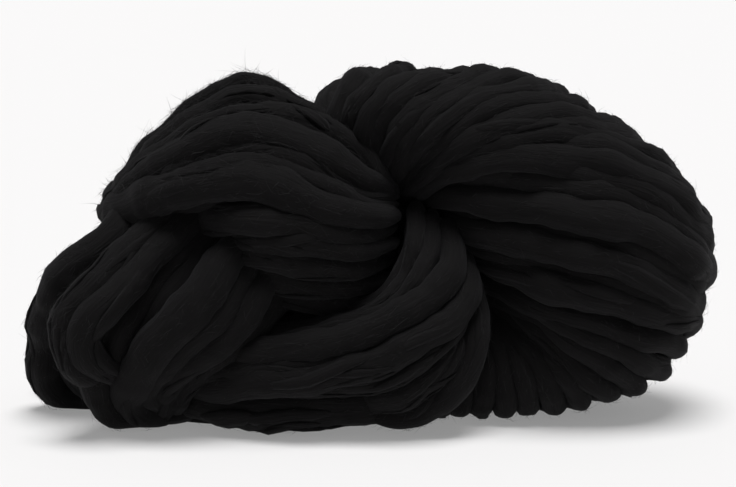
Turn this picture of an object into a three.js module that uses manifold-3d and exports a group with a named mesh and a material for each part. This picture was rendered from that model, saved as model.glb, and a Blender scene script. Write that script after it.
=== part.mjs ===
// A hank of chunky wool roving, twisted on itself and tucked, lying on a table.
// Millimetres, +Z up, +X to the right of the front view, -Y towards the front.
// One solid: two fanned folds of wound strands meet at a crease, lower plies run under them,
// and the tucked end loops lie at the left. The whole is cut flat where it rests.

import * as THREE from 'three';
import { mergeVertices } from 'three/addons/utils/BufferGeometryUtils.js';
import Module from 'manifold-3d';

const strandWidth = 17;
const grooveDepth = 0.3 * strandWidth;
const segmentsPerStrand = 3;
const plyLobes = 3;
const pointsPerLobe = 3;
const plyGroove = 0.17;
const plySteps = 13;
const turnsSegments = 16;
const floorCut = 600;
const mergeWithin = 1e-3;
const woolBlack = 0x0d0d0f;

// A fold's strands leave the crease in front, go round the outline and come back into the crease
// behind. An outline row is the reach from the crease to the edge, at an angle from +X towards +Z,
// and how much deeper the strands are tucked in there between the edge and the front crease.
const rightFold = {
  crease: { x: 26, y: 2, z: 124 },
  frontSwell: 90,
  backSwell: 89,
  creaseDip: 34,
  creaseTuck: 24,
  lean: -58,
  strands: 30,
  rings: 12,
  outline: [
    { angle: 0, reach: 185, tuck: 8 },
    { angle: 8, reach: 173, tuck: 10 },
    { angle: 17, reach: 158, tuck: 12 },
    { angle: 30, reach: 137, tuck: 14 },
    { angle: 46, reach: 121, tuck: 18 },
    { angle: 62, reach: 109, tuck: 20 },
    { angle: 84, reach: 97, tuck: 22 },
    { angle: 102, reach: 99, tuck: 22 },
    { angle: 125, reach: 98, tuck: 24 },
    { angle: 150, reach: 76, tuck: 30 },
    { angle: 180, reach: 54, tuck: 40 },
    { angle: 215, reach: 68, tuck: 56 },
    { angle: 245, reach: 119, tuck: 66 },
    { angle: 270, reach: 127, tuck: 72 },
    { angle: 290, reach: 136, tuck: 72 },
    { angle: 302, reach: 152, tuck: 68 },
    { angle: 312, reach: 166, tuck: 60 },
    { angle: 322, reach: 180, tuck: 44 },
    { angle: 332, reach: 189, tuck: 24 },
    { angle: 342, reach: 191, tuck: 12 },
    { angle: 352, reach: 192, tuck: 8 },
  ],
};

const leftFold = {
  crease: { x: 12, y: 0, z: 138 },
  frontSwell: 86,
  backSwell: 80,
  creaseDip: 34,
  creaseTuck: 2,
  lean: 24,
  strands: 26,
  rings: 11,
  outline: [
    { angle: 0, reach: 18, tuck: 0 },
    { angle: 60, reach: 24, tuck: 0 },
    { angle: 100, reach: 34, tuck: 0 },
    { angle: 112, reach: 45, tuck: 0 },
    { angle: 124, reach: 68, tuck: 0 },
    { angle: 130, reach: 84, tuck: 0 },
    { angle: 136, reach: 108, tuck: 0 },
    { angle: 142, reach: 124, tuck: 0 },
    { angle: 149, reach: 133, tuck: 0 },
    { angle: 156, reach: 141, tuck: 0 },
    { angle: 164, reach: 155, tuck: 0 },
    { angle: 173, reach: 171, tuck: 0 },
    { angle: 184, reach: 178, tuck: 0 },
    { angle: 190, reach: 158, tuck: 0 },
    { angle: 197, reach: 134, tuck: 2 },
    { angle: 206, reach: 122, tuck: 4 },
    { angle: 219, reach: 116, tuck: 8 },
    { angle: 234, reach: 104, tuck: 14 },
    { angle: 252, reach: 82, tuck: 14 },
    { angle: 276, reach: 50, tuck: 8 },
    { angle: 320, reach: 24, tuck: 0 },
  ],
};

// Strands sink by the tuck from this share of the reach inwards. In the crease itself, within the
// second share, the tuck evens out to that of the crease.
const tuckFrom = 0.4;
const tuckCurve = 1.3;
const creaseShare = 0.25;

// How a fold's strands spread from the crease, how its face swells towards the crease, and the share
// of the way over which it dips again.
const spreadCurve = 0.9;
const swellCurve = 0.72;
const dipShare = 0.3;

// The inner turns fill the hank behind its outer strands: an egg of these half-sizes.
const innerTurns = [
  { middle: [-132, -2, 62], half: [56, 58, 60] },
  { middle: [-44, -2, 52], half: [104, 58, 56] },
];

// A ply is a few strands that run together: its width and the places it passes through. One that
// runs on behind the hank lies there as it does in front, mirrored.
const plies = [
  // throat ply
  {
    width: 28,
    behind: true,
    through: [
      [40, -16, 140], [43, -34, 125], [40, -53, 107], [30, -62, 92], [11, -67, 79],
      [-13, -67, 68], [-44, -65, 60], [-72, -57, 54], [-95, -42, 46],
    ],
  },
  // middle ply
  {
    width: 30,
    behind: true,
    through: [
      [50, -14, 118], [56, -32, 104], [56, -50, 88], [46, -62, 72], [24, -68, 59],
      [0, -69, 50], [-25, -67, 44], [-53, -63, 38], [-82, -54, 32], [-106, -40, 25],
    ],
  },
  // bottom ply
  {
    width: 34,
    behind: true,
    through: [
      [50, -12, 96], [60, -34, 76], [57, -50, 50], [42, -53, 31], [19, -51, 21],
      [-10, -49, 18], [-42, -48, 17], [-77, -44, 16], [-113, -28, 19],
    ],
  },
  // outer end loop
  {
    width: 22,
    behind: false,
    through: [
      [-122, -6, 138], [-151, -32, 122], [-170, -39, 109], [-188, -33, 93], [-202, -16, 69],
      [-206, 2, 42], [-205, 10, 22], [-192, 15, 9], [-152, 12, 18],
    ],
  },
  // rear end loop
  {
    width: 36,
    behind: false,
    through: [
      [-118, 16, 132], [-150, 24, 110], [-172, 25, 86], [-183, 27, 64], [-185, 28, 42],
      [-174, 26, 22], [-142, 14, 24],
    ],
  },
  // back end loop
  {
    width: 36,
    behind: false,
    through: [
      [-104, 26, 128], [-133, 52, 105], [-152, 64, 80], [-167, 69, 57], [-174, 66, 36],
      [-168, 55, 17], [-150, 38, 12], [-122, 20, 24],
    ],
  },
  // front knuckle
  {
    width: 32,
    behind: false,
    through: [
      [-92, -22, 142], [-120, -48, 129], [-139, -64, 111], [-156, -71, 92], [-170, -74, 78],
      [-176, -74, 66], [-173, -68, 53], [-164, -56, 44], [-146, -32, 44],
    ],
  },
  // lower knuckle
  {
    width: 23,
    behind: true,
    through: [
      [-158, -32, 60], [-167, -50, 45], [-164, -49, 26], [-157, -40, 11], [-140, -32, 7],
      [-116, -16, 20],
    ],
  },
  // broad end ply
  {
    width: 33,
    behind: true,
    through: [
      [-66, -28, 132], [-90, -58, 114], [-105, -71, 94], [-119, -73, 77], [-133, -70, 60],
      [-143, -61, 42], [-147, -46, 24], [-128, -20, 22],
    ],
  },
  // inner end ply
  {
    width: 30,
    behind: true,
    through: [
      [-48, -32, 112], [-68, -61, 93], [-80, -66, 76], [-96, -66, 60], [-115, -60, 44],
      [-127, -48, 28], [-114, -20, 22],
    ],
  },
];

const wasm = await Module();
wasm.setup();

// An outline's column at an angle: a cubic through the rows on both sides, closed round the circle.
function outlineAt(outline, degrees, column) {
  const turn = THREE.MathUtils.euclideanModulo(degrees, 360);
  const count = outline.length;
  const after = outline.findIndex((row) => row.angle > turn);
  const high = after < 0 ? count : after;
  const row = (i) => outline[THREE.MathUtils.euclideanModulo(i, count)];
  const value = (i) => row(i)[column];
  const angle = (i) => row(i).angle + 360 * Math.floor(i / count);
  const slope = (i) => (value(i + 1) - value(i - 1)) / (angle(i + 1) - angle(i - 1));
  const span = angle(high) - angle(high - 1);
  const t = (turn - angle(high - 1)) / span;
  const ease = 3 * t ** 2 - 2 * t ** 3;
  const level = THREE.MathUtils.lerp(value(high - 1), value(high), ease);
  return level + span * (slope(high - 1) * (t ** 3 - 2 * t ** 2 + t) + slope(high) * (t ** 3 - t ** 2));
}

// A fold of the hank: a ball whose poles are the crease in front and behind. Every column of its
// mesh follows a strand or a groove, from pole to pole, and leans as it goes. The strands spread
// with the sine of the way from pole to pole, and the grooves between them deepen with its square.
function foldGeometry(fold) {
  const around = fold.strands * segmentsPerStrand;
  const geometry = new THREE.SphereGeometry(1, around, fold.rings);
  const position = geometry.attributes.position;
  const point = new THREE.Vector3();
  for (let i = 0; i < position.count; i += 1) {
    point.fromBufferAttribute(position, i);
    const polar = Math.acos(THREE.MathUtils.clamp(point.y, -1, 1));
    const bearing = THREE.MathUtils.radToDeg(Math.atan2(-point.z, point.x));
    const angle = bearing + fold.lean * (polar / Math.PI - 0.5);
    const spread = Math.sin(polar);
    const crest = Math.abs(Math.sin(THREE.MathUtils.degToRad(bearing * fold.strands / 2)));
    const groove = grooveDepth * (1 - crest) * spread ** 2;
    const ratio = spread ** spreadCurve;
    const reach = (outlineAt(fold.outline, angle, 'reach') - groove) * ratio;
    const inFront = point.y > 0;
    const swell = inFront ? fold.frontSwell : fold.backSwell;
    const dip = fold.creaseDip * Math.exp(-((spread / dipShare) ** 2));
    const sunk = THREE.MathUtils.clamp((1 - ratio) / (1 - tuckFrom), 0, 1) ** tuckCurve;
    const away = Math.min(1, spread / creaseShare);
    const tucked = THREE.MathUtils.lerp(fold.creaseTuck, outlineAt(fold.outline, angle, 'tuck'), away);
    const tuck = inFront ? tucked * sunk : 0;
    const depth = (swell - groove) * Math.abs(point.y) ** swellCurve - dip - tuck;
    position.setXYZ(
      i,
      fold.crease.x + reach * Math.cos(THREE.MathUtils.degToRad(angle)),
      fold.crease.y - Math.sign(point.y) * depth,
      fold.crease.z + reach * Math.sin(THREE.MathUtils.degToRad(angle)),
    );
  }
  return geometry;
}

// A ply: a round section with a groove between its strands, carried along a smooth curve.
function plyGeometry(ply) {
  const count = plyLobes * pointsPerLobe;
  const outline = Array.from({ length: count }, (_, i) => {
    const turn = 2 * Math.PI * i / count;
    const crest = Math.abs(Math.sin(turn * plyLobes / 2));
    const radius = ply.width / 2 * (1 - plyGroove * (1 - crest));
    return new THREE.Vector2(radius * Math.cos(turn), radius * Math.sin(turn));
  });
  const path = new THREE.CatmullRomCurve3(ply.through.map((place) => new THREE.Vector3(...place)));
  return new THREE.ExtrudeGeometry(new THREE.Shape(outline), {
    steps: plySteps,
    bevelEnabled: false,
    extrudePath: path,
  });
}

function turnsGeometry(turns) {
  const geometry = new THREE.SphereGeometry(1, turnsSegments, turnsSegments / 2);
  geometry.scale(...turns.half);
  geometry.translate(...turns.middle);
  return geometry;
}

function solidFrom(geometry) {
  const bare = geometry.clone();
  bare.deleteAttribute('normal');
  bare.deleteAttribute('uv');
  const merged = mergeVertices(bare, mergeWithin);
  return new wasm.Manifold(new wasm.Mesh({
    numProp: 3,
    vertProperties: Float32Array.from(merged.attributes.position.array),
    triVerts: Uint32Array.from(merged.index.array),
  }));
}

function geometryFrom(solid) {
  const mesh = solid.getMesh();
  const geometry = new THREE.BufferGeometry();
  geometry.setAttribute('position', new THREE.BufferAttribute(mesh.vertProperties, 3));
  geometry.setIndex(new THREE.BufferAttribute(mesh.triVerts, 1));
  geometry.computeVertexNormals();
  return geometry;
}

// The hank: folds, inner turns and plies joined, then cut flat at the height it rests on. Only the
// outer skin is kept, so the small hollows closed in between the folds are filled.
function hankGeometry() {
  const folds = [rightFold, leftFold].map(foldGeometry);
  const lumps = innerTurns.map(turnsGeometry);
  const inFront = plies.map((ply) => solidFrom(plyGeometry(ply)));
  const behind = inFront.filter((_, i) => plies[i].behind).map((ply) => ply.mirror([0, 1, 0]));
  const pieces = [...[...folds, ...lumps].map(solidFrom), ...inFront, ...behind];
  const joined = pieces.reduce((whole, piece) => whole.add(piece));
  const above = new THREE.BoxGeometry(floorCut, floorCut, floorCut);
  above.translate(0, 0, floorCut / 2);
  const shells = joined.intersect(solidFrom(above)).decompose();
  const skin = shells.reduce((largest, shell) => (shell.volume() > largest.volume() ? shell : largest));
  const geometry = geometryFrom(skin);
  geometry.computeBoundingBox();
  const middle = geometry.boundingBox.getCenter(new THREE.Vector3());
  geometry.translate(-middle.x, -middle.y, 0);
  return geometry;
}

const model = new THREE.Group();
const wool = new THREE.MeshStandardMaterial({ color: woolBlack, roughness: 0.95, metalness: 0 });
const hank = new THREE.Mesh(hankGeometry(), wool);
hank.name = 'hank';
model.add(hank);

export default model;
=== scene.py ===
import math

import bpy
import numpy as np
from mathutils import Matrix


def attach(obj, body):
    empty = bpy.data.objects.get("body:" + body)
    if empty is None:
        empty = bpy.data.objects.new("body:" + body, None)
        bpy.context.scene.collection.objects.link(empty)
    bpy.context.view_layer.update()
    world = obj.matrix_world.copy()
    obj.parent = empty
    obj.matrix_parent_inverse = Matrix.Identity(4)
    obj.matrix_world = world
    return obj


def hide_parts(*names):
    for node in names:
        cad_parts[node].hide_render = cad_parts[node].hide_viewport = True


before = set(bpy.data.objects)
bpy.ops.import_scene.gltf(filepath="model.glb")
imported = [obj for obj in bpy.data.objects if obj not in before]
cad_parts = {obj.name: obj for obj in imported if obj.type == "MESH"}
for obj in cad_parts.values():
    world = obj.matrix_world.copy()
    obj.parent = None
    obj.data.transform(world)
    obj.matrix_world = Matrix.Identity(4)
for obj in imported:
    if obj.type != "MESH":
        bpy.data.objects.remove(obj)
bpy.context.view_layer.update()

# A hank of chunky wool roving, twisted on itself and tucked, lying on a table.
# The tables give places in millimetres, and meshes are written in metres.
mm = 0.001


# view: the camera stands in front and a little above, and looks along +Y but for its tilt. Places
# and distance are in mm, the end of the clip range in metres

view = {
    "aim": (-2.8, 0.0, 108.8),
    "distance": 1267.0,
    "elevation": 9.5,
    "lens": 100.0,
    "sensor": 36.0,
    "clipEnd": 100.0,
}


def cameraPlace():
    # the eye: aim + distance * (0, -cos(elevation), sin(elevation))
    tilt = math.radians(view["elevation"])
    back = view["distance"] * math.cos(tilt)
    up = view["distance"] * math.sin(tilt)
    return view["aim"][0], view["aim"][1] - back, view["aim"][2] + up


def onRay(places):
    # rows (x, height, y): seen at x and height on the upright plane y = 0, but lying at depth y.
    # The point slides along its sight line: eye + (y - eyeY) / (0 - eyeY) * (plane point - eye)
    eye = np.array(cameraPlace())
    places = np.asarray(places, float)
    share = (places[:, 2] - eye[1]) / -eye[1]
    x = eye[0] + share * (places[:, 0] - eye[0])
    z = eye[2] + share * (places[:, 1] - eye[2])
    return np.stack([x, places[:, 2], z], axis=1)


# shapes shared by all strands: the steps between two places of a line before it is evened out, and
# the least height in mm of locks and fibres over the table
stepsPerPlace = 24
leastHeight = 0.3


def smoothLine(places, count):
    # a curve through the places at an even pace: cubic pieces over the chord lengths,
    # each joint's slope the mean of its two chords, then evened out by arc length
    places = np.asarray(places, float)
    chord = np.linalg.norm(np.diff(places, axis=0), axis=1)
    at = np.concatenate([[0.0], np.cumsum(chord)])
    slope = np.gradient(places, at, axis=0)
    fine = np.linspace(0.0, at[-1], stepsPerPlace * len(places))
    k = np.clip(np.searchsorted(at, fine, side="right") - 1, 0, len(places) - 2)
    span = (at[k + 1] - at[k])[:, None]
    t = (fine[:, None] - at[k][:, None]) / span
    line = (2 * t**3 - 3 * t**2 + 1) * places[k] + (t**3 - 2 * t**2 + t) * span * slope[k]
    line += (3 * t**2 - 2 * t**3) * places[k + 1] + (t**3 - t**2) * span * slope[k + 1]
    run = np.concatenate([[0.0], np.cumsum(np.linalg.norm(np.diff(line, axis=0), axis=1))])
    even = np.linspace(0.0, run[-1], count)
    return np.stack([np.interp(even, run, line[:, i]) for i in range(3)], axis=1)


def softened(lines, rounds):
    # evens out kinks: each place moves to (before + 2 * itself + after) / 4, rounds times over
    for _ in range(rounds):
        lines[..., 1:-1, :] = (lines[..., :-2, :] + 2 * lines[..., 1:-1, :] + lines[..., 2:, :]) / 4
    return lines


def unit(v):
    # v / |v|
    return v / np.maximum(np.linalg.norm(v, axis=-1, keepdims=True), 1e-9)


def carried(ahead, out):
    # a direction square to each line, carried along it without twist: at every ring it keeps the
    # last ring's direction, less the part that points ahead
    frames = np.empty_like(ahead)
    last = out[:, 0]
    for ring in range(ahead.shape[1]):
        last = unit(last - (last * ahead[:, ring]).sum(-1, keepdims=True) * ahead[:, ring])
        frames[:, ring] = last
    return frames


# a strand: lengths in mm, heights as a share of its half width. Flutes are (how many round it,
# height), lumps are (length, how many round it, height)
strand = {
    "thickness": 0.9,
    "sway": 1.2,
    "swayLengths": (60.0, 140.0),
    "swell": 0.08,
    "swellLengths": (34.0, 85.0, 170.0),
    "pace": (0.8, 1.25),
    "flutes": ((2, 0.06), (3, 0.05), (5, 0.032), (8, 0.016)),
    "fluteTurn": 240.0,
    "fluteTurnRange": (0.6, 1.4),
    "fluteFade": 0.4,
    "fluteFadeLength": 37.0,
    "phaseStep": 3,
    "lumps": ((13.0, 1, 0.026), (19.0, 2, 0.026), (29.0, 1, 0.03)),
    "lumpTurn": 50.0,
    "tip": 7.0,
    "bluntest": 0.98,
    "diveLength": 26.0,
    "diveCurve": 1.6,
    "floorEase": 3.0,
    "patternStep": 40.0,
}


def wander(rng, along, lengths):
    # slow random waves along each strand: a sum of sines, one for each wavelength in mm
    total = np.zeros_like(along)
    for length in lengths:
        phase = rng.uniform(0, 2 * np.pi, (along.shape[0], 1))
        pace = rng.uniform(*strand["pace"], (along.shape[0], 1))
        total += np.sin(2 * np.pi * along / length * pace + phase)
    return total / math.sqrt(len(lengths))


def strandTubes(lines, wide, middle, seed, sides, press=None, plain=False, dive=(0, 0)):
    # tubes round strand lines (strands, rings, 3). A section is an oval, wide along the bundle and
    # thin across it: line + side * a cos(angle) + out * b sin(angle), where a and b follow slow
    # waves along the strand, flutes that turn slowly round it and small lumps. The first and last
    # stretch of a strand bend away by the two dive vectors. Close to the table a strand flattens:
    # a height under floorEase becomes floorEase * exp((height - floorEase) / floorEase)
    rng = np.random.default_rng(seed)
    count, rings = lines.shape[:2]
    step = np.linalg.norm(np.diff(lines, axis=1), axis=2)
    along = np.concatenate([np.zeros((count, 1)), np.cumsum(step, axis=1)], axis=1)
    out = unit(lines - middle)
    for bend, left in zip(dive, (along, along[:, -1:] - along)):
        fade = np.clip(1 - left / strand["diveLength"], 0, 1) ** strand["diveCurve"]
        lines = lines + np.array(bend, float) * fade[..., None]
    ahead = unit(np.gradient(lines, axis=1))
    out = carried(ahead, out)
    side = np.cross(ahead, out)
    if not plain:
        shift = wander(rng, along, strand["swayLengths"])[..., None] * side
        rise = wander(rng, along, strand["swayLengths"])[..., None] * out
        lines = lines + (shift + rise) * strand["sway"]
    half = np.asarray(wide, float).reshape(count, -1) / 2
    half = half * (1 + strand["swell"] * wander(rng, along, strand["swellLengths"]))
    if press is not None:
        half = half * press
    ends = np.minimum(along, along[:, -1:] - along)
    half = half * np.sqrt(1 - np.clip(1 - ends / strand["tip"], 0, strand["bluntest"]) ** 2)
    angle = np.linspace(0, 2 * np.pi, sides, endpoint=False)[None, None, :]
    wave = np.ones((count, rings, sides))
    if not plain:
        for turns, height in strand["flutes"]:
            phase = rng.uniform(0, 2 * np.pi, (count, 1, 1))
            drift = 2 * np.pi * along[..., None] / strand["fluteTurn"]
            drift = drift * rng.uniform(*strand["fluteTurnRange"], (count, 1, 1))
            beat = np.sin(along[..., None] / strand["fluteFadeLength"] + strand["phaseStep"] * phase)
            mild = 1 - strand["fluteFade"] * (1 - beat)
            wave += height * mild * np.sin(turns * angle + phase + drift)
        for length, turns, height in strand["lumps"]:
            phase = rng.uniform(0, 2 * np.pi, (count, 1, 1))
            pace = rng.uniform(*strand["pace"], (count, 1, 1))
            beat = np.sin(2 * np.pi * along[..., None] / length * pace + phase)
            drift = along[..., None] / strand["lumpTurn"]
            wave += height * beat * np.sin(turns * angle + strand["phaseStep"] * phase + drift)
    across = half[..., None] * wave * np.cos(angle)
    upward = half[..., None] * wave * np.sin(angle) * strand["thickness"]
    points = lines[:, :, None] + side[:, :, None] * across[..., None]
    points = points + out[:, :, None] * upward[..., None]
    low = points[..., 2]
    ease = strand["floorEase"]
    points[..., 2] = np.where(low < ease, ease * np.exp(np.minimum(low - ease, 0) / ease), low)
    grain = np.stack([
        half[..., None] * np.cos(angle) + strand["patternStep"] * np.arange(count)[:, None, None],
        half[..., None] * np.sin(angle) + np.zeros_like(across),
        along[..., None] + np.zeros_like(across),
    ], axis=-1)
    return {"points": points, "grain": grain, "lines": lines, "ahead": ahead, "plain": plain}


# locks: how flat one is, how far its ends sink in in mm, how far round its strand it may lie and
# drift as a share of the round, and the rings of the strand kept free at its ends
locks = {
    "rings": 8,
    "sides": 6,
    "flat": 0.34,
    "sink": 0.9,
    "round": 0.13,
    "drift": 0.09,
    "taper": 0.7,
    "bluntEnds": (0.03, 0.97),
    "freeStart": 3,
    "freeEnd": 4,
    "patternStep": 23.0,
}


def lockTubes(tubes, count, length, share, seed):
    # locks of wool that lie on the strands: flat lens shapes, each along the outer face of one
    # strand for a length, a share of the strand wide, drifting round it and sunk in at both ends
    rng = np.random.default_rng(seed)
    points, lines = tubes["points"], tubes["lines"]
    total, rings, sides = points.shape[:3]
    outward = ((points - lines[:, :, None]) * (lines - tubes["middle"])[:, :, None]).sum(-1)
    outer = outward.argmax(axis=2)
    spacing = np.linalg.norm(np.diff(lines, axis=1), axis=2).mean(axis=1)
    which = rng.integers(0, total, count)
    room = rings - locks["freeStart"] - locks["freeEnd"]
    run = np.minimum(rng.uniform(*length, count) / spacing[which], room - 1)
    start = locks["freeStart"] + rng.random(count) * (room - run)
    t = np.linspace(0, 1, locks["rings"])[None, :]
    ring = start[:, None] + run[:, None] * t
    middle = outer[which, (start + run / 2).astype(int)]
    side = middle + rng.normal(0, locks["round"] * sides, count)
    side = side[:, None] + rng.normal(0, locks["drift"] * sides, (count, 1)) * (2 * t - 1)
    low, lowSide = np.floor(ring).astype(int), np.floor(side).astype(int)
    up, over = (ring - low)[..., None], (side - lowSide)[..., None]
    pick = which[:, None]
    here, beside = lowSide % sides, (lowSide + 1) % sides
    near = points[pick, low, here] * (1 - over) + points[pick, low, beside] * over
    far = points[pick, low + 1, here] * (1 - over) + points[pick, low + 1, beside] * over
    place = near * (1 - up) + far * up
    centre = lines[pick, low] * (1 - up) + lines[pick, low + 1] * up
    out = unit(place - centre)
    ahead = unit(np.gradient(place, axis=1))
    across = unit(np.cross(ahead, out))
    bow = np.sin(np.pi * np.clip(t, *locks["bluntEnds"]))[..., None]
    half = np.linalg.norm(place - centre, axis=2, keepdims=True) * rng.uniform(*share, (count, 1, 1))
    half = half * bow ** locks["taper"]
    path = place - out * locks["sink"] * (1 - bow)
    angle = np.linspace(0, 2 * np.pi, locks["sides"], endpoint=False)[None, None, :, None]
    section = across[:, :, None] * half[:, :, None] * np.cos(angle)
    section = section - out[:, :, None] * locks["flat"] * half[:, :, None] * np.sin(angle)
    made = path[:, :, None] + section
    made[..., 2] = np.maximum(made[..., 2], leastHeight)
    along = (run * spacing[which])[:, None, None] * t[..., None]
    grain = np.stack([
        half * np.cos(angle[..., 0]) + locks["patternStep"] * np.arange(count)[:, None, None],
        half * np.sin(angle[..., 0]),
        along + np.zeros(locks["sides"]),
    ], axis=-1)
    return {
        "points": made, "grain": grain, "lines": path, "ahead": ahead, "plain": False,
        "middle": tubes["middle"],
    }


def meshPiece(name, points, grain, faces):
    # one mesh from a point array, a pattern coordinate for each point, and rows of triangles or quads
    mesh = bpy.data.meshes.new(name)
    mesh.vertices.add(len(points))
    mesh.vertices.foreach_set("co", (points * mm).astype(np.float32).ravel())
    corners = np.concatenate([f.ravel() for f in faces]).astype(np.int32)
    sizes = np.concatenate([np.full(len(f), f.shape[1]) for f in faces])
    starts = np.concatenate([[0], np.cumsum(sizes)[:-1]]).astype(np.int32)
    mesh.loops.add(len(corners))
    mesh.loops.foreach_set("vertex_index", corners)
    mesh.polygons.add(len(sizes))
    mesh.polygons.foreach_set("loop_start", starts)
    mesh.update(calc_edges=True)
    mesh.validate()
    mesh.polygons.foreach_set("use_smooth", np.ones(len(mesh.polygons), bool))
    pattern = mesh.attributes.new("grain", "FLOAT_VECTOR", "POINT")
    pattern.data.foreach_set("vector", (grain * mm).astype(np.float32).ravel())
    piece = bpy.data.objects.new(name, mesh)
    bpy.context.scene.collection.objects.link(piece)
    return piece


def tubeArrays(points, grain):
    # points and faces of closed tubes: quads between the rings, and a fan to a point at each end
    count, rings, sides = points.shape[:3]
    index = np.arange(count * rings * sides).reshape(count, rings, sides)
    beside = np.roll(index, -1, axis=2)
    quads = np.stack([index[:, :-1], index[:, 1:], beside[:, 1:], beside[:, :-1]], axis=-1).reshape(-1, 4)
    tips = points[:, [0, -1]].mean(axis=2)
    tipGrain = grain[:, [0, -1]].mean(axis=2)
    tipIndex = index.size + np.arange(count * 2).reshape(count, 2)
    first = np.broadcast_to(tipIndex[:, :1], (count, sides))
    last = np.broadcast_to(tipIndex[:, 1:], (count, sides))
    startFan = np.stack([first, index[:, 0], beside[:, 0]], axis=-1).reshape(-1, 3)
    endFan = np.stack([last, beside[:, -1], index[:, -1]], axis=-1).reshape(-1, 3)
    allPoints = np.concatenate([points.reshape(-1, 3), tips.reshape(-1, 3)])
    allGrain = np.concatenate([grain.reshape(-1, 3), tipGrain.reshape(-1, 3)])
    return allPoints, allGrain, quads, np.concatenate([startFan, endFan])


def strandPiece(name, bundles):
    # several sets of tubes joined as one piece
    points, grain, quads, fans = [], [], [], []
    base = 0
    for tubes in bundles:
        p, g, q, f = tubeArrays(tubes["points"], tubes["grain"])
        points.append(p)
        grain.append(g)
        quads.append(q + base)
        fans.append(f + base)
        base += len(p)
    faces = [np.concatenate(quads), np.concatenate(fans)]
    piece = meshPiece(name, np.concatenate(points), np.concatenate(grain), faces)
    print("piece", name, "triangles", 2 * len(faces[0]) + len(faces[1]))
    return piece


# the layers of plain tubes under the strands: their places, rings and sides, and where copies of a
# layer lie between front and back, as a share of its depth
layer = {
    "places": 7,
    "rings": 32,
    "sides": 9,
    "depths": (1, -1, 0.35, -0.35),
}


def betweenRows(rows, sink):
    # the lines of an inner layer: half way between neighbours, and deeper by sink
    mids = []
    for one, two in zip(rows[:-1], rows[1:]):
        mid = (smoothLine(one, layer["places"]) + smoothLine(two, layer["places"])) / 2
        mid[:, 2] += sink
        mids.append(smoothLine(onRay(mid), layer["rings"]))
    return np.stack(mids)


# the waves, in mm, that make the back of the hank differ from its front
behind = {
    "xByHeight": 31,
    "xByX": 43,
    "yByX": 29,
    "yByHeight": 41,
    "heightByX": 37,
    "calmBelow": 60,
}


def behindOf(lines, seed, drift):
    # the back of a bundle, like its front: mirrored in y and shifted by slow waves over the place
    a, b, c, d = np.random.default_rng(seed).uniform(0, 2 * np.pi, 4)
    x, y, z = lines[..., 0], -lines[..., 1], lines[..., 2]
    newX = x + drift * np.sin(z / behind["xByHeight"] + a) + drift * np.sin(x / behind["xByX"] + b)
    newY = y + drift * np.sin(x / behind["yByX"] + z / behind["yByHeight"] + d)
    newZ = z + drift * np.sin(x / behind["heightByX"] + c) * np.clip(z / behind["calmBelow"], 0, 1)
    return np.stack([newX, newY, newZ], axis=-1)[..., ::-1, :]


# fuzz: loose fibres on the strands, thin three-sided threads that start under the surface, run
# roughly along the strand and lift off it. They grow where a strand faces out of its bundle, above
# the lowest height and off the free rings at its ends. Their roots may shift along, beside and
# under the surface by so many mm

fuzz = {
    "sides": 3,
    "tipShare": 0.45,
    "facing": -0.15,
    "lowest": 2.5,
    "freeRings": 2,
    "rootAlong": 2,
    "rootBeside": 1,
    "rootSink": 0.4,
    "fallBack": (0.2, 0.9),
    "offAxis": 0.01,
    "thickRange": (0.7, 1.3),
}


def threadArrays(points, tip, grain):
    # points and faces of closed threads: a triangle at the root, quads, and a fan to the tip
    count, rings, sides = points.shape[:3]
    index = np.arange(count * rings * sides).reshape(count, rings, sides)
    beside = np.roll(index, -1, axis=2)
    quads = np.stack([index[:, :-1], index[:, 1:], beside[:, 1:], beside[:, :-1]], axis=-1).reshape(-1, 4)
    tipIndex = np.broadcast_to(index.size + np.arange(count)[:, None], (count, sides))
    fans = np.stack([tipIndex, beside[:, -1], index[:, -1]], axis=-1).reshape(-1, 3)
    allPoints = np.concatenate([points.reshape(-1, 3), tip])
    allGrain = np.concatenate([np.repeat(grain, rings * sides, axis=0), grain])
    return allPoints, allGrain, [quads, np.concatenate([index[:, 0], fans])]


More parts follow.
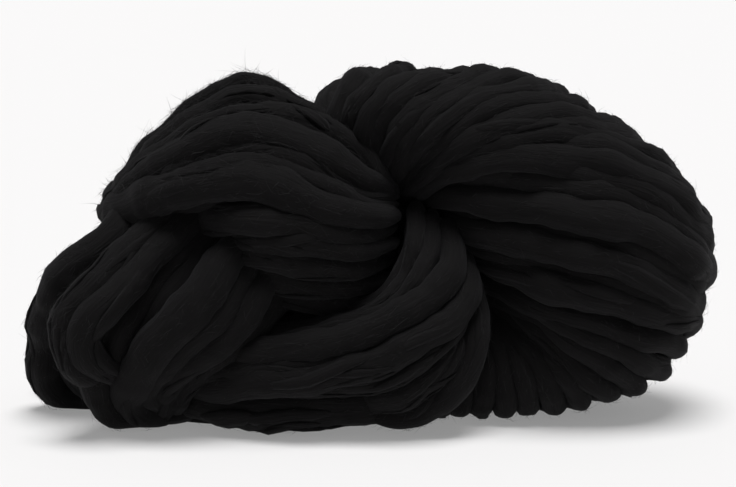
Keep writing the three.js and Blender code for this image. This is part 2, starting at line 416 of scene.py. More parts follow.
def fuzzPiece(name, bundles, count, bends, thick, reach, lift, spread, seed, patch=None):
    # count fibres over the outer faces of the tubes, or over a patch of them between two x and above
    # a height. A fibre's path is root + length * (t * way + t^2 * bend), way mostly along the strand,
    # bend partly off it; its radius thins to the tip
    rng = np.random.default_rng(seed)
    roots, outs, aheads, grains = [], [], [], []
    for tubes in bundles:
        if tubes["plain"]:
            continue
        points = tubes["points"]
        away = unit(points - tubes["lines"][:, :, None])
        outer = (away * unit(tubes["lines"] - tubes["middle"])[:, :, None]).sum(-1) > fuzz["facing"]
        outer &= points[..., 2] > fuzz["lowest"]
        outer[:, :fuzz["freeRings"]] = False
        outer[:, -fuzz["freeRings"]:] = False
        if patch:
            outer &= (points[..., 0] > patch[0]) & (points[..., 0] < patch[1])
            outer &= points[..., 2] > patch[2]
        roots.append(points[outer])
        outs.append(away[outer])
        aheads.append(np.broadcast_to(tubes["ahead"][:, :, None], points.shape)[outer])
        grains.append(tubes["grain"][outer])
    roots, outs, aheads, grains = [np.concatenate(part) for part in (roots, outs, aheads, grains)]
    pick = rng.integers(0, len(roots), count)
    root, out, ahead = roots[pick], outs[pick], aheads[pick]
    beside = np.cross(out, ahead)
    root = root + ahead * rng.uniform(-1, 1, (count, 1)) * fuzz["rootAlong"]
    root = root + beside * rng.uniform(-1, 1, (count, 1)) * fuzz["rootBeside"] - fuzz["rootSink"] * out
    length = rng.uniform(*reach, (count, 1, 1))
    sense = np.where(rng.random((count, 1)) < 0.5, -1.0, 1.0)
    rise = rng.uniform(*lift, (count, 1))
    way = unit(ahead * sense + beside * rng.normal(0, spread, (count, 1)) + out * rise)
    bend = beside * rng.normal(0, spread, (count, 1))
    bend = bend - out * rise * rng.uniform(*fuzz["fallBack"], (count, 1))
    t = np.linspace(0, 1, bends + 1)[None, :, None]
    path = root[:, None] + length * (t * way[:, None] + t**2 * bend[:, None])
    path[..., 2] = np.maximum(path[..., 2], leastHeight)
    radius = thick / 2 * rng.uniform(*fuzz["thickRange"], (count, 1, 1))
    radius = radius * (1 - (1 - fuzz["tipShare"]) * t)
    forward = unit(np.gradient(path, axis=1))
    across = unit(np.cross(forward, out[:, None] + fuzz["offAxis"]))
    over = np.cross(across, forward)
    angle = np.linspace(0, 2 * np.pi, fuzz["sides"], endpoint=False)[None, None, :, None]
    ring = across[:, :, None] * np.cos(angle) - over[:, :, None] * np.sin(angle)
    points = path[:, :, None] + ring * radius[:, :, None]
    allPoints, allGrain, faces = threadArrays(points[:, :-1], path[:, -1], grains[pick])
    piece = meshPiece(name, allPoints, allGrain, faces)
    print("piece", name, "triangles", 2 * len(faces[0]) + len(faces[1]))
    return piece


# the sides of a strand's section in front and of one behind, and the locks on each bundle: how
# many, their length in mm, and half their width as a share of the strand's half width
strandSides = 18
behindSides = 16
lockRows = {
    "right_fold": {"count": 110, "length": (50, 120), "share": (0.3, 0.55), "seed": 14},
    "left_fold": {"count": 130, "length": (35, 90), "share": (0.25, 0.5), "seed": 25},
    "end_loops": {"count": 60, "length": (35, 80), "share": (0.3, 0.55), "seed": 36},
    "lower_plies": {"count": 50, "length": (40, 90), "share": (0.3, 0.55), "seed": 45},
}


# the right fold: strands leave the crease, fan out to the rim, go round it and come back behind

fold = {
    "crease": (26.0, 2.0, 124.0),
    "middle": (60.0, 0.0, 112.0),
    "inset": 8.0,
    "backSwell": 77.0,
    "domeEdge": 2.2,
    "domeCurve": 0.36,
    "dip": 34.0,
    "dipPace": 1.1,
    "dipShare": 0.3,
    "start": 0.1,
    "end": 0.97,
    "frontSteps": 16,
    "startTurn": 0.5,
    "rimTurn": 0.6,
    "tuckFrom": 0.4,
    "tuckCurve": 1.3,
    "lean": -34.0,
    "rings": 120,
    "backSteps": 9,
    "backPace": 0.9,
    "spreadCurve": 0.9,
    "smoothing": 12,
    "grow": 1.2,
    "press": 0.15,
    "pressReach": 52.0,
    "dives": ((-4, 24, 0), (0, -24, 0)),
}

# the layer under the fold's strands: its tubes run over this part of the way from pole to pole
foldLayer = {
    "strands": 28,
    "wide": 27.0,
    "inset": 12.0,
    "backInset": 14.0,
    "polar": (0.12, 0.93),
    "rings": 40,
    "press": 0.4,
}

# strands through the crease: they lie closest at half way, and every other one further out
throat = {
    "middle": (27.0, 130.0),
    "strands": 9,
    "rings": 20,
    "wide": 22.0,
    "radius": 15.0,
    "least": 0.5,
    "flare": 0.9,
    "stagger": 0.5,
    "tall": 1.4,
    "turn": 2.2,
    "front": -10.0,
    "back": 42.0,
}

# the rim seen from the front: angle about the crease from +X towards +Z, and reach in mm. Its
# corners are evened out over the angles of the window
rimWindow = 17
rimRows = [
    (0, 181), (8, 171), (16, 155), (24, 139), (32, 131), (41, 122), (55, 109), (70, 96), (84, 91),
    (97, 93), (110, 97), (124, 99), (150, 76), (180, 52), (215, 66), (245, 118), (270, 125), (290, 133),
    (300, 144), (311, 161), (318, 172), (325, 186), (332, 191), (339, 190), (347, 190), (354, 191),
]

# the fold's front by angle: how far it swells forward, how much deeper its strands lie where they
# are tucked into the crease, and how far the layer under them swells, all in mm
frontRows = [
    (-90, 60, 70, -10), (-75, 70, 82, -12), (-60, 77, 80, -12), (-50, 77, 74, -10), (-42, 77, 62, -4),
    (-36, 77, 44, 8), (-30, 77, 26, 26), (-20, 77, 14, 40), (0, 77, 10, 46), (30, 77, 16, 46),
    (50, 76, 22, 44), (70, 74, 24, 38), (90, 68, 24, 30), (110, 58, 26, 22), (130, 44, 30, 10),
    (180, 18, 40, 0),
]

# its strands in front, top to bottom: width, lift, and the angle at 0.2, 0.4, 0.6, 0.8 and 0.95 of
# the reach from the crease to the rim
foldStations = (0.2, 0.4, 0.6, 0.8, 0.95)
foldRows = [
    (16, 0, (152, 149, 145, 140, 131)),
    (17, 0, (147, 143, 138, 130, 119)),
    (18, 0, (142, 136, 129, 120, 107)),
    (18, 0, (137, 130, 121, 110, 95)),
    (18, 1, (131, 123, 114, 101, 84)),
    (18, 0, (125, 115, 104, 90, 73)),
    (17, 1, (119, 106, 93, 79, 63)),
    (16, 2, (114, 96, 82, 68, 53)),
    (15, 0, (106, 83, 70, 55, 42)),
    (17, 2, (96, 70, 57, 44, 32)),
    (16, -8, (92, 66, 52, 39, 27)),
    (16, 0, (88, 61, 46, 33, 20)),
    (16, -8, (84, 56, 39, 26, 13)),
    (18, 4, (80, 51, 32, 18, 6)),
    (16, -8, (68, 40, 23, 12, 1)),
    (15, -7, (60, 32, 14, 5, -4)),
    (19, 4, (34, 6, 2, -3, -8)),
    (13, -7, (8, -3, -6, -9, -12)),
    (18, 4, (-10, -11, -12, -14, -16)),
    (14, -6, (-22, -19, -18, -18, -18.5)),
    (17, 3, (-34, -27, -24, -22, -21)),
    (15, 0, (-47, -38, -33, -29, -27)),
    (15, -1, (-48, -39, -36, -33, -32)),
    (15, -1, (-46, -42, -39, -37, -37)),
    (14, -2, (-46, -43, -42, -42, -42)),
    (14, -2, (-46, -45, -45, -46, -47)),
    (14, -2, (-46, -47, -48, -50, -52)),
    (14, -3, (-48, -49, -51, -54, -57)),
    (14, -3, (-51, -51, -55, -59, -62)),
    (14, -4, (-54, -54, -59, -64, -68)),
    (14, -5, (-58, -58, -64, -70, -74)),
    (14, -6, (-63, -63, -69, -76, -80)),
]


def rimReach(degrees):
    # a smooth closed outline through the rim rows: linear between them, then averaged with a
    # bell-shaped window
    angle, reach = np.array(rimRows, float).T
    fine = np.arange(0, 360, 1.0)
    flat = np.interp(fine, angle, reach, period=360)
    half = rimWindow // 2
    window = np.hanning(rimWindow + 2)[1:-1]
    window /= window.sum()
    soft = np.convolve(np.concatenate([flat[-half:], flat, flat[:half]]), window, "valid")
    return np.interp(np.mod(degrees, 360), fine, soft, period=360) - fold["inset"]


def frontAt(degrees):
    # the front's swell, tuck and inner swell at these angles, linear between the rows
    angle, swell, tuck, core = np.array(frontRows, float).T
    return [np.interp(degrees, angle, column, period=360) for column in (swell, tuck, core)]


def foldDepth(ratio, swell):
    # how far the fold's face stands off its middle plane, at a ratio of the reach: a flat dome
    # swell * (1 - ratio^domeEdge)^domeCurve, less the dip where the strands sink into the crease
    ratio = np.clip(ratio, 0, 1)
    dome = swell * (1 - ratio ** fold["domeEdge"]) ** fold["domeCurve"]
    return dome - fold["dip"] * np.exp(-((ratio ** fold["dipPace"] / fold["dipShare"]) ** 2))


def aboutCrease(reach, bearing, depth):
    # a place in the fold from its reach, its bearing in degrees and its depth behind the crease
    x, y, z = fold["crease"]
    turn = np.radians(bearing)
    return np.stack([x + reach * np.cos(turn), y + depth + 0 * reach, z + reach * np.sin(turn)], axis=-1)


def foldLine(row, count):
    # front half by the table, less the tuck * ((1 - ratio) / (1 - tuckFrom))^tuckCurve; then round
    # the rim and back: angle = rim angle + lean * share, reach = rim reach * cos(90 degrees *
    # share)^spreadCurve, depth by the same dome
    wide, lift, angles = row
    ratio = np.linspace(fold["start"], fold["end"], fold["frontSteps"])
    stations = np.concatenate([[fold["start"]], foldStations, [1.0]])
    first = angles[0] + fold["startTurn"] * (angles[0] - angles[1])
    rimAngle = angles[-1] + fold["rimTurn"] * (angles[-1] - angles[-2])
    bearing = np.interp(ratio, stations, np.concatenate([[first], angles, [rimAngle]]))
    swell, tuck, _ = frontAt(bearing)
    sunk = np.clip((1 - ratio) / (1 - fold["tuckFrom"]), 0, 1) ** fold["tuckCurve"]
    depth = foldDepth(ratio, swell) + lift * (1 - ratio) - tuck * sunk
    flat = aboutCrease(ratio * rimReach(bearing), bearing, -depth)
    front = onRay(flat[:, [0, 2, 1]])
    share = np.linspace(0, 1, fold["backSteps"] + 1)[:-1] ** fold["backPace"]
    bearing = rimAngle + fold["lean"] * share
    spread = np.cos(share * np.pi / 2) ** fold["spreadCurve"]
    back = aboutCrease(rimReach(bearing) * spread, bearing, foldDepth(spread, fold["backSwell"]))
    return softened(smoothLine(np.concatenate([front, back]), count), fold["smoothing"])


def foldCore():
    # the layer under the fold's strands: full meridians from the front crease to the back one, at
    # reach * sin(polar)^spreadCurve and depth * (1 - sin(polar)^2)^domeCurve
    polar = np.linspace(*foldLayer["polar"], foldLayer["rings"])[None, :] * np.pi
    start = np.linspace(0, 360, foldLayer["strands"], endpoint=False)[:, None]
    bearing = start - 2 * fold["lean"] * (0.5 - polar / np.pi)
    spread = np.sin(polar)
    front = frontAt(bearing)[2]
    dome = (1 - spread**2) ** fold["domeCurve"]
    back = fold["backSwell"] - foldLayer["backInset"]
    depth = np.where(polar < np.pi / 2, -front * dome, back * dome)
    reach = (rimReach(bearing) - foldLayer["inset"]) * spread ** fold["spreadCurve"]
    return aboutCrease(reach, bearing, depth)


def throatStrands():
    # strands that go through the crease from front to back, turning about its line as they go:
    # helices of radius * (least + flare * |share - 1/2|, and stagger more for every other one)
    count = throat["strands"]
    share = np.linspace(0, 1, throat["rings"])[None, :]
    turn = np.linspace(0, 2 * np.pi, count, endpoint=False)[:, None] + share * throat["turn"]
    odd = np.arange(count)[:, None] % 2
    flare = throat["flare"] * np.abs(share - 0.5)
    radius = throat["radius"] * (throat["least"] + flare + throat["stagger"] * odd)
    return np.stack([
        throat["middle"][0] + radius * np.cos(turn),
        throat["front"] + (throat["back"] - throat["front"]) * share + 0 * turn,
        throat["middle"][1] + throat["tall"] * radius * np.sin(turn),
    ], axis=-1)


# how fast a strand widens again away from its crease
pressCurve = 0.8


def pressed(lines, place, reach, narrow):
    # strands crowd together at a crease: their width grows from narrow to full within reach of it,
    # as narrow + (1 - narrow) * (distance / reach)^pressCurve
    away = np.hypot(lines[..., 0] - place[0], lines[..., 2] - place[1])
    return narrow + (1 - narrow) * np.clip(away / reach, 0, 1) ** pressCurve


def widths(rows, grow):
    # the widths of a table, grown so that neighbours press on each other
    return np.array([row[0] for row in rows], float) * grow


def tubesOf(lines, wide, middle, seed, **more):
    # strand tubes that know the middle of their bundle, for their locks and fibres
    tubes = strandTubes(lines, wide, middle, seed, **more)
    tubes["middle"] = middle
    return tubes


def plainTubes(lines, wide, middle, seed, press=None):
    # the tubes of an inner layer, all of one width
    wide = np.full(len(lines), wide)
    return tubesOf(lines, wide, middle, seed, sides=layer["sides"], press=press, plain=True)


def makeRightFold():
    middle = np.array(fold["middle"])
    crease = (fold["crease"][0], fold["crease"][2])
    lines = np.stack([foldLine(row, fold["rings"]) for row in foldRows])
    press = pressed(lines, crease, fold["pressReach"], fold["press"])
    core = foldCore()
    corePress = pressed(core, crease, fold["pressReach"], foldLayer["press"])
    strands = tubesOf(
        lines, widths(foldRows, fold["grow"]), middle, seed=11, sides=strandSides, press=press,
        dive=fold["dives"])
    return [
        strands,
        lockTubes(strands, **lockRows["right_fold"]),
        plainTubes(core, foldLayer["wide"], middle, seed=12, press=corePress),
        plainTubes(throatStrands(), throat["wide"], middle, seed=13),
    ]


# the left fold: strands gather in the crease, swell over the top left, go round the left end and
# come back behind

body = {
    "rings": 170,
    "middle": (-70.0, 0.0, 130.0),
    "crease": (24.0, 118.0),
    "creaseDepth": 46.0,
    "creaseRun": (-45.0, 15.0),
    "bulgeCurve": 2.2,
    "fullest": 0.98,
    "steps": 18,
    "smoothing": 6,
    "press": 0.2,
    "pressReach": 85.0,
    "endSink": 34.0,
    "endRun": 32.0,
    "backDrop": 0.16,
    "backDrift": 4.0,
    "backSeed": 22,
    "grow": 1.22,
    "dives": ((5, 26, 0), (5, -26, 0)),
    "ridgeSides": 20,
    "ridgeDives": ((0, 0, -12), (0, 0, -12)),
    "coreWide": 27.0,
    "coreShrink": (0.9, 0.78, 0.8),
    "coreEvery": 4,
}

# the left fold's section along x: top and bottom of its strand lines, and how far it bulges in y
bodyRows = [
    (-160, 142, 118, 8), (-153, 147, 112, 24), (-144, 157, 104, 40), (-132, 170, 95, 52),
    (-120, 180, 86, 60), (-106, 191, 76, 68), (-80, 201, 66, 74), (-60, 198, 60, 73),
    (-40, 191, 55, 71), (-20, 183, 52, 66), (0, 168, 60, 56), (18, 146, 76, 44),
]

# its strands in front, top to bottom: width, lift, x of the left end, and the heights at the stations
bodyStations = (11, -5, -25, -50, -78, -105, -130, -147, -156)
bodyStrands = [
    (15, 2, -156, (134, 166, 183, 192, 199, 188, 168, 151, 139)),
    (16, 0, -155, (137, 160, 177, 184, 188, 179, 162, 147, 136)),
    (18, 4, -154, (139, 148, 161, 174, 178, 170, 156, 143, 134)),
    (13, 0, -153, (134, 138, 148, 162, 167, 160, 148, 137, 131)),
    (12, 3, -148, (131, 133, 143, 154, 158, 153, 143, 134, 129)),
    (21, 3, -154, (123, 126, 131, 140, 148, 147, 139, 132, 128)),
    (17, 2, -104, (115, 114, 117, 122, 125, 121, 112, 106, 100)),
    (18, 1, -92, (105, 103, 106, 110, 114, 108, 100, 95, 90)),
    (16, 1, -90, (96, 92, 93, 97, 103, 99, 92, 88, 84)),
    (16, 0, -84, (85, 82, 81, 86, 95, 90, 84, 80, 76)),
    (16, 0, -78, (78, 74, 72, 76, 84, 82, 78, 74, 70)),
]

# a strand that lies behind the top and shows over it: places (x, height, y)
ridgeStrand = (15, [
    (8, 138, 26), (-10, 162, 20), (-32, 184, 15), (-50, 195, 12), (-64, 204, 10), (-78, 210, 10),
    (-92, 204, 10), (-108, 194, 9), (-123, 182, 8), (-138, 168, 7), (-152, 149, 4),
])


def bodySection(x):
    # the section's top, bottom and bulge at x, linear between the rows
    at, top, bottom, bulge = np.array(bodyRows, float).T
    return [np.interp(x, at, column) for column in (top, bottom, bulge)]


def bodyLine(row, count):
    # depth from the section: bulge * sqrt(1 - |v|^bulgeCurve), v from -1 at its bottom to 1 at its
    # top, but no less than the depth that the crease keeps, which fades away from it. The back is
    # the front mirrored in y, a little lower
    wide, lift, end, heights = row
    stations = [x for x in bodyStations if x > end] + [end]
    heights = np.interp(stations, bodyStations[::-1], heights[::-1])
    line = smoothLine(np.stack([stations, heights, np.zeros(len(heights))], axis=1), body["steps"])
    top, bottom, bulge = bodySection(line[:, 0])
    v = (2 * line[:, 1] - top - bottom) / (top - bottom)
    depth = bulge * np.sqrt(1 - np.clip(np.abs(v), 0, body["fullest"]) ** body["bulgeCurve"])
    farEnd, nearEnd = body["creaseRun"]
    crease = body["creaseDepth"] * np.clip((line[:, 0] - farEnd) / (nearEnd - farEnd), 0, 1)
    sunk = body["endSink"] * np.clip(1 - (line[:, 0] - end) / body["endRun"], 0, 1) ** 2
    depth = np.maximum(depth, crease) + lift - sunk * np.clip(depth / body["endSink"] - 1, 0, 1)
    front = onRay(np.stack([line[:, 0], line[:, 1], -depth], axis=1))
    back = behindOf(front, body["backSeed"], body["backDrift"])
    back[:, 2] -= body["backDrop"] * np.maximum(back[:, 1], 0)
    return softened(smoothLine(np.concatenate([front, back]), count), body["smoothing"])


def makeLeftFold():
    middle = np.array(body["middle"])
    lines = np.stack([bodyLine(row, body["rings"]) for row in bodyStrands])
    ridge = smoothLine(onRay(ridgeStrand[1]), body["rings"])[None]
    core = middle + (lines[:, ::body["coreEvery"]] - middle) * np.array(body["coreShrink"])
    press = pressed(lines, body["crease"], body["pressReach"], body["press"])
    strands = tubesOf(
        lines, widths(bodyStrands, body["grow"]), middle, seed=21, sides=strandSides, press=press,
        dive=body["dives"])
    return [
        strands,
        lockTubes(strands, **lockRows["left_fold"]),
        tubesOf(
            ridge, [ridgeStrand[0]], middle, seed=24, sides=body["ridgeSides"], dive=body["ridgeDives"]),
        plainTubes(core, body["coreWide"], middle, seed=23),
    ]


# the end loops at the left: from under the left fold they come down in front, pass under and go up
# behind, or do so only in front or behind

loops = {
    "middle": (-142.0, 0.0, 60.0),
    "rings": 120,
    "smoothing": 4,
    "grow": 1.12,
    "backSeed": 32,
    "rowsPerSeed": 3,
    "backDrift": 3.0,
    "coreWide": 30.0,
    "coreSink": 13,
    "wrapRows": 6,
    "wrapShrink": (0.82, 0.84, 0.92),
}

# width, whether the strand goes on behind as it runs in front, and its places (x, height, y)
loopRows = [
    (20, False, [
        (-134, 136, -14), (-149, 123, -34), (-164, 111, -42), (-180, 99, -40), (-196, 83, -32),
        (-204, 65, -16), (-205, 44, 2), (-204, 27, 10), (-194, 13, 17), (-150, 11, 12),
    ]),
    (18, False, [
        (-132, 132, 12), (-154, 112, 0), (-174, 92, -6), (-187, 70, -4), (-190, 48, 6),
        (-184, 30, 14), (-152, 22, 12),
    ]),
    (19, False, [
        (-132, 130, 32), (-156, 112, 40), (-178, 90, 46), (-192, 66, 46), (-193, 44, 42),
        (-184, 28, 36), (-150, 22, 24),
    ]),
    (21, False, [
        (-118, 134, 30), (-140, 118, 50), (-160, 98, 62), (-175, 76, 66), (-183, 54, 64),
        (-180, 34, 56), (-166, 18, 44), (-136, 10, 28),
    ]),
    (20, False, [
        (-106, 132, 38), (-126, 112, 58), (-147, 88, 70), (-163, 66, 75), (-170, 44, 73),
        (-164, 24, 62), (-146, 11, 47), (-116, 6, 28),
    ]),
    (19, False, [
        (-92, 124, 46), (-110, 102, 65), (-128, 79, 77), (-142, 56, 80), (-148, 34, 74),
        (-139, 15, 58), (-112, 6, 36),
    ]),
    (18, False, [
        (-112, 138, -28), (-131, 124, -46), (-154, 102, -64), (-176, 79, -74), (-190, 63, -77),
        (-193, 50, -75), (-190, 37, -71), (-181, 29, -64), (-168, 34, -44),
    ]),
    (20, True, [
        (-100, 136, -34), (-118, 121, -50), (-139, 98, -68), (-156, 78, -77), (-173, 63, -81),
        (-181, 49, -80), (-178, 37, -74), (-168, 31, -62), (-152, 36, -36),
    ]),
    (20, True, [
        (-176, 44, -48), (-174, 28, -55), (-171, 12, -49), (-162, 1, -40), (-144, -2, -33),
        (-124, 3, -24),
    ]),
    (15, True, [
        (-94, 130, -38), (-113, 109, -54), (-136, 80, -64), (-152, 60, -68), (-160, 42, -65),
        (-160, 24, -56), (-156, 9, -45), (-140, 2, -32),
    ]),
    (22, True, [
        (-76, 118, -50), (-90, 100, -65), (-103, 80, -76), (-118, 62, -79), (-134, 45, -76),
        (-146, 28, -67), (-153, 12, -53), (-140, 0, -32),
    ]),
    (16, True, [
        (-68, 102, -54), (-80, 86, -65), (-93, 66, -73), (-111, 49, -74), (-129, 33, -68),
        (-142, 17, -57), (-134, 3, -36),
    ]),
    (16, True, [
        (-56, 96, -54), (-69, 80, -64), (-79, 62, -70), (-97, 46, -71), (-116, 31, -65),
        (-132, 18, -55), (-132, 5, -36),
    ]),
    (14, True, [
        (-54, 86, -50), (-66, 66, -58), (-80, 50, -62), (-98, 35, -60), (-118, 18, -50),
        (-124, 5, -32),
    ]),
]


def loopLine(row, count, seed):
    # the places, and where it goes on behind, their image behind the hank in the other order
    wide, joined, places = row
    front = onRay(places)
    if joined:
        front = np.concatenate([front, behindOf(front, seed, loops["backDrift"])])
    return softened(smoothLine(front, count), loops["smoothing"])


def makeEndLoops():
    middle = np.array(loops["middle"])
    seeds = [loops["backSeed"] + place // loops["rowsPerSeed"] for place in range(len(loopRows))]
    lines = np.stack([loopLine(row, loops["rings"], seed) for row, seed in zip(loopRows, seeds)])
    core = betweenRows([row[2] for row in loopRows if row[1]], loops["coreSink"])
    wrap = betweenRows([row[2] for row in loopRows[:loops["wrapRows"]]], 0)
    wrap = middle + (wrap - middle) * np.array(loops["wrapShrink"])
    strands = tubesOf(lines, widths(loopRows, loops["grow"]), middle, seed=31, sides=strandSides)
    tubes = [
        strands,
        lockTubes(strands, **lockRows["end_loops"]),
        plainTubes(wrap, loops["coreWide"], middle, seed=35),
    ]
    for share in layer["depths"]:
        tubes.append(plainTubes(core * np.array([1, share, 1]), loops["coreWide"], middle, seed=34))
    return tubes


# the lower plies, from the throat down and to the left

lower = {
    "middle": (-20.0, 0.0, 40.0),
    "rings": 90,
    "grow": 1.14,
    "dives": ((-3, 16, 6), (-4, 14, 0)),
    "backSeed": 42,
    "backDrift": 3.0,
    "coreWide": 27.0,
    "coreRows": 7,
    "coreSink": 15,
}

# width and places (x, height, y)
lowerRows = [
    (10, [
        (30, 128, -36), (27, 106, -50), (21, 86, -57), (8, 70, -60), (-18, 58, -58),
        (-50, 50, -54), (-76, 44, -46),
    ]),
    (11, [
        (40, 122, -36), (36, 99, -54), (26, 82, -62), (8, 66, -66), (-20, 56, -65), (-52, 49, -62),
        (-80, 43, -52),
    ]),
    (16, [
        (50, 114, -36), (48, 92, -56), (36, 75, -68), (14, 61, -74), (-12, 51, -74),
        (-41, 43, -72), (-70, 40, -68), (-94, 34, -54),
    ]),
    (15, [
        (20, 54, -60), (-6, 42, -68), (-34, 35, -70), (-64, 32, -68), (-92, 27, -60),
        (-112, 20, -46),
    ]),
    (18, [
        (57, 98, -36), (57, 74, -56), (44, 57, -70), (22, 44, -75), (0, 34, -75), (-24, 27, -73),
        (-54, 22, -70), (-84, 19, -63), (-110, 14, -48),
    ]),
    (12, [
        (58, 78, -40), (54, 58, -58), (40, 42, -68), (22, 30, -72), (2, 21, -70), (-18, 20, -68),
        (-40, 17, -66), (-64, 14, -60),
    ]),
    (22, [(20, 4, -50), (-8, 6, -54), (-32, 5, -55), (-60, 5, -54), (-88, 5, -50), (-116, 4, -38)]),
    (17, [
        (56, 88, -28), (64, 62, -44), (62, 40, -56), (57, 24, -60), (44, 10, -60), (28, 2, -57),
        (10, 1, -54), (-10, 4, -50),
    ]),
    (15, [(44, 70, -36), (52, 46, -56), (44, 28, -64), (28, 16, -66), (10, 10, -64), (-12, 10, -60)]),
    (15, [(24, 2, -34), (-10, 0, -38), (-45, -1, -40), (-80, 0, -38), (-120, 3, -30)]),
    (16, [(36, 0, -24), (-10, -2, -22), (-50, -2, -22), (-90, -2, -22), (-126, 0, -18)]),
]


def makeLowerPlies():
    middle = np.array(lower["middle"])
    wide = widths(lowerRows, lower["grow"])
    lines = np.stack([smoothLine(onRay(row[1]), lower["rings"]) for row in lowerRows])
    core = betweenRows([row[1] for row in lowerRows[:lower["coreRows"]]], lower["coreSink"])
    start, end = lower["dives"]
    mirrored = [[x, -y, z] for x, y, z in (end, start)]
    behindLines = behindOf(lines, lower["backSeed"], lower["backDrift"])
    strands = tubesOf(lines, wide, middle, seed=41, sides=strandSides, dive=(start, end))
    tubes = [
        strands,
        lockTubes(strands, **lockRows["lower_plies"]),
        tubesOf(behindLines, wide, middle, seed=43, sides=behindSides, dive=mirrored),
    ]
    for share in layer["depths"]:
        tubes.append(plainTubes(core * np.array([1, share, 1]), lower["coreWide"], middle, seed=44))
    return tubes


bundles = {
    "right_fold": makeRightFold(),
    "left_fold": makeLeftFold(),
    "end_loops": makeEndLoops(),
    "lower_plies": makeLowerPlies(),
}
strandPieces = [strandPiece(name, tubes) for name, tubes in bundles.items()]

# fibres on each bundle, a close coat and a halo of loose ends that stand off: how many, their bends,
# thickness and least and greatest length in mm, lift off the surface and spread across the strand.
# They are thicker than real fibres, because a real one would not show
fuzzRows = {
    "right_fold": (
        ("coat", 3000, 3, 0.17, (6, 20), (0.02, 0.18), 0.12),
        ("halo", 15000, 2, 0.17, (3, 9), (0.2, 1.0), 0.5),
    ),
    "left_fold": (
        ("coat", 2200, 3, 0.17, (6, 20), (0.02, 0.2), 0.14),
        ("halo", 13000, 2, 0.17, (3, 8), (0.2, 0.9), 0.6),
    ),
    "end_loops": (
        ("coat", 1400, 3, 0.17, (5, 16), (0.02, 0.2), 0.12),
        ("halo", 7500, 2, 0.17, (3, 9), (0.2, 1.0), 0.5),
    ),
    "lower_plies": (
        ("coat", 1100, 3, 0.17, (6, 18), (0.02, 0.18), 0.12),
        ("halo", 4500, 2, 0.17, (3, 8), (0.2, 0.9), 0.45),
    ),
}
fuzzSeed = 104
seedStep = 10
fuzzPieces = []
for place, (name, coats) in enumerate(fuzzRows.items()):
    for kind, *coat in coats:
        seed = fuzzSeed + seedStep * place
        fuzzPieces.append(fuzzPiece(name + "_" + kind, bundles[name], *coat, seed=seed))

# wool rubbed loose on top of the left fold: its patch lies between two x and above a height
tousle = {
    "count": 1500,
    "bends": 3,
    "thick": 0.22,
    "reach": (5, 12),
    "lift": (0.02, 0.3),
    "spread": 0.7,
    "seed": 150,
    "patch": (-162, -50, 150),
}
fuzzPieces.append(fuzzPiece("tousle", bundles["left_fold"], **tousle))


# materials

def linear(hexColour):
    # sRGB hex to linear: (c + 0.055) / 1.055 to the power 2.4, or c / 12.92 near black
    parts = [int(hexColour[i:i + 2], 16) / 255 for i in (0, 2, 4)]
    return [c / 12.92 if c <= 0.04045 else ((c + 0.055) / 1.055) ** 2.4 for c in parts] + [1.0]


def node(tree, kind, settings=None, values=None, links=None):
    # adds one node with its settings, input values and links
    made = tree.nodes.new(kind)
    for name, value in (settings or {}).items():
        setattr(made, name, value)
    for name, value in (values or {}).items():
        made.inputs[name].default_value = value
    for name, source in (links or {}).items():
        tree.links.new(source, made.inputs[name])
    return made


# the wool: widths, runs and heights in mm. A merino fibre is 0.02 mm wide, too fine to show, so the
# lines of fibre are drawn 1.1 mm apart, as coarse as they need to show
wool = {
    "dark": "070606",
    "light": "0f0e0f",
    # loose: a lighter tone for the loose fibres, a painted highlight on the top-lit fuzz
    "loose": "1b1a1c",
    "fibreWidth": 1.1,
    "fibreRun": 14.0,
    "fibreHeight": 0.8,
    "lockWidth": 4.5,
    "lockRun": 40.0,
    "lockHeight": 1.4,
    "patchWidth": 6.25,
    "sheen": 0.028,
    "sheenRoughness": 0.5,
    "sheenTint": "d9d8df",
}


def woolSheen():
    # the soft sheen that both wool materials share
    return {
        "Sheen Weight": wool["sheen"],
        "Sheen Roughness": wool["sheenRoughness"],
        "Sheen Tint": linear(wool["sheenTint"]),
    }


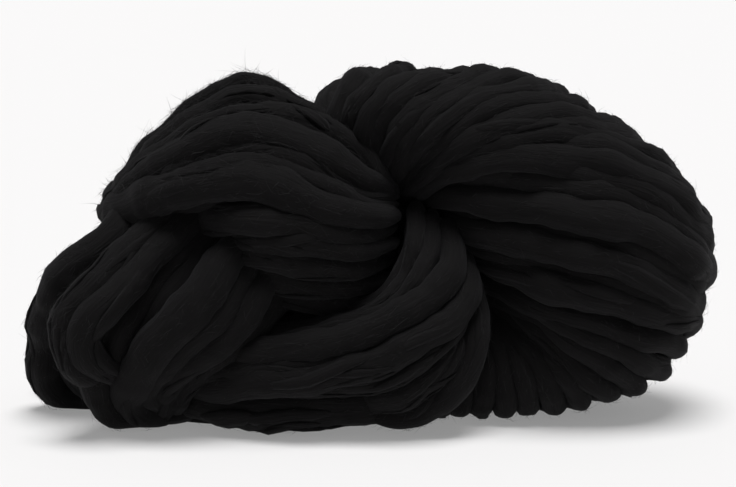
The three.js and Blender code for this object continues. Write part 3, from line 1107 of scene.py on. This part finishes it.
def dyedRoving():
    # black-dyed merino roving, combed and drawn but unspun: nearly no gloss, a soft sheen where the
    # light grazes it, and fine lines of fibre that run along the strand
    material = bpy.data.materials.new("dyed wool roving")
    material.use_nodes = True
    tree = material.node_tree
    tree.nodes.clear()
    grain = node(tree, "ShaderNodeAttribute", {"attribute_name": "grain"})
    fine = node(
        tree, "ShaderNodeMapping",
        values={"Scale": (1000 / wool["fibreWidth"], 1000 / wool["fibreWidth"], 1000 / wool["fibreRun"])},
        links={"Vector": grain.outputs["Vector"]})
    broad = node(
        tree, "ShaderNodeMapping",
        values={"Scale": (1000 / wool["lockWidth"], 1000 / wool["lockWidth"], 1000 / wool["lockRun"])},
        links={"Vector": grain.outputs["Vector"]})
    fibres = node(
        tree, "ShaderNodeTexNoise",
        values={"Scale": 1.0, "Detail": 3.0, "Roughness": 0.65, "Distortion": 0.8},
        links={"Vector": fine.outputs["Vector"]})
    folds = node(
        tree, "ShaderNodeTexNoise",
        values={"Scale": 1.0, "Detail": 2.0, "Roughness": 0.5, "Distortion": 0.3},
        links={"Vector": broad.outputs["Vector"]})
    tone = node(
        tree, "ShaderNodeMix", {"data_type": "RGBA"}, links={"Factor": fibres.outputs["Fac"]})
    tone.inputs["A"].default_value = linear(wool["dark"])
    tone.inputs["B"].default_value = linear(wool["light"])
    softBump = node(
        tree, "ShaderNodeBump", values={"Strength": 0.8, "Distance": wool["lockHeight"] * mm},
        links={"Height": folds.outputs["Fac"]})
    fineBump = node(
        tree, "ShaderNodeBump", values={"Strength": 0.9, "Distance": wool["fibreHeight"] * mm},
        links={"Height": fibres.outputs["Fac"], "Normal": softBump.outputs["Normal"]})
    shader = node(
        tree, "ShaderNodeBsdfPrincipled",
        values={"Roughness": 0.85, "IOR": 1.55, "Specular IOR Level": 0.1, **woolSheen()},
        links={"Base Color": tone.outputs["Result"], "Normal": fineBump.outputs["Normal"]})
    node(tree, "ShaderNodeOutputMaterial", links={"Surface": shader.outputs["BSDF"]})
    return material


def looseFibre():
    # single wool fibres out of the same dye bath, with a slight gloss along the shaft. Their lighter
    # colour is painted light: the loose tone stands in for light that gets through them and for
    # highlights on the top-lit fuzz
    material = bpy.data.materials.new("loose wool fibre with painted highlight")
    material.use_nodes = True
    tree = material.node_tree
    tree.nodes.clear()
    grain = node(tree, "ShaderNodeAttribute", {"attribute_name": "grain"})
    patch = node(
        tree, "ShaderNodeTexNoise", values={"Scale": 1000 / wool["patchWidth"], "Detail": 2.0},
        links={"Vector": grain.outputs["Vector"]})
    # patches of painted highlight: the fibres' colour runs from the wool's dark tone to the lighter loose
    # tone
    tone = node(
        tree, "ShaderNodeMix", {"data_type": "RGBA"}, links={"Factor": patch.outputs["Fac"]})
    tone.inputs["A"].default_value = linear(wool["dark"])
    tone.inputs["B"].default_value = linear(wool["loose"])
    shader = node(
        tree, "ShaderNodeBsdfPrincipled",
        values={"Roughness": 0.7, "IOR": 1.55, "Specular IOR Level": 0.3, **woolSheen()},
        links={"Base Color": tone.outputs["Result"]})
    node(tree, "ShaderNodeOutputMaterial", links={"Surface": shader.outputs["BSDF"]})
    return material


def glowingTable():
    # a matt white photo table, lit a little from below
    material = bpy.data.materials.new("matt white table")
    material.use_nodes = True
    shader = material.node_tree.nodes["Principled BSDF"]
    shader.inputs["Base Color"].default_value = linear(stage["tableColour"])
    shader.inputs["Roughness"].default_value = 1.0
    shader.inputs["Specular IOR Level"].default_value = 0.0
    shader.inputs["Emission Color"].default_value = (1.0, 1.0, 1.0, 1.0)
    shader.inputs["Emission Strength"].default_value = stage["tableGlow"]
    return material


for made, material in ((strandPieces, dyedRoving()), (fuzzPieces, looseFibre())):
    for piece in made:
        piece.data.materials.append(material)
print("materials made")


# stage, lights and camera. The floor and the backdrop are round, and their sizes are in metres

stage = {
    "reach": 12.0,
    "wallReach": 11.88,
    "wallHeight": 6.0,
    "wallSunk": 0.01,
    "corners": 96,
    "tableColour": "c4c3c3",
    "tableGlow": 0.25,
    "backdrop": 0.95,
    "sky": 0.22,
    "sunStrength": 3.4,
    "sunAngle": 30.0,
    "sunLean": (11.0, 3.0),
}


def addStage():
    bpy.ops.mesh.primitive_circle_add(vertices=stage["corners"], radius=stage["reach"], fill_type="NGON")
    floor = bpy.context.object
    floor.name = "floor"
    floor.data.materials.append(glowingTable())
    bpy.ops.mesh.primitive_cylinder_add(
        vertices=stage["corners"], radius=stage["wallReach"], depth=stage["wallHeight"],
        end_fill_type="NOTHING", location=(0, 0, stage["wallHeight"] / 2 - stage["wallSunk"]))
    wall = bpy.context.object
    wall.name = "backdrop"
    glow = bpy.data.materials.new("lit white paper")
    glow.use_nodes = True
    glow.node_tree.nodes.clear()
    light = node(glow.node_tree, "ShaderNodeEmission", values={"Strength": stage["backdrop"]})
    node(glow.node_tree, "ShaderNodeOutputMaterial", links={"Surface": light.outputs["Emission"]})
    wall.data.materials.append(glow)
    for ray in ("visible_diffuse", "visible_glossy", "visible_transmission", "visible_shadow"):
        setattr(wall, ray, False)


def addLights():
    world = bpy.data.worlds.new("soft room")
    bpy.context.scene.world = world
    world.use_nodes = True
    world.node_tree.nodes["Background"].inputs["Strength"].default_value = stage["sky"]
    world.node_tree.nodes["Background"].inputs["Color"].default_value = (1.0, 1.0, 1.0, 1.0)
    lamp = bpy.data.lights.new("soft top light", "SUN")
    lamp.energy = stage["sunStrength"]
    lamp.angle = math.radians(stage["sunAngle"])
    sun = bpy.data.objects.new("soft top light", lamp)
    sun.rotation_euler = [math.radians(v) for v in (*stage["sunLean"], 0)]
    bpy.context.scene.collection.objects.link(sun)


def addCamera():
    lens = bpy.data.cameras.new("camera")
    lens.lens = view["lens"]
    lens.sensor_width = view["sensor"]
    lens.clip_end = view["clipEnd"]
    camera = bpy.data.objects.new("camera", lens)
    camera.location = [v * mm for v in cameraPlace()]
    camera.rotation_euler = (math.radians(90 - view["elevation"]), 0, 0)
    bpy.context.scene.collection.objects.link(camera)
    bpy.context.scene.camera = camera


addStage()
addLights()
addCamera()
bpy.context.scene.view_settings.view_transform = "Standard"
print("stage, lights and camera ready")

for piece in strandPieces + fuzzPieces:
    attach(piece, "root")
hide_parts("hank")
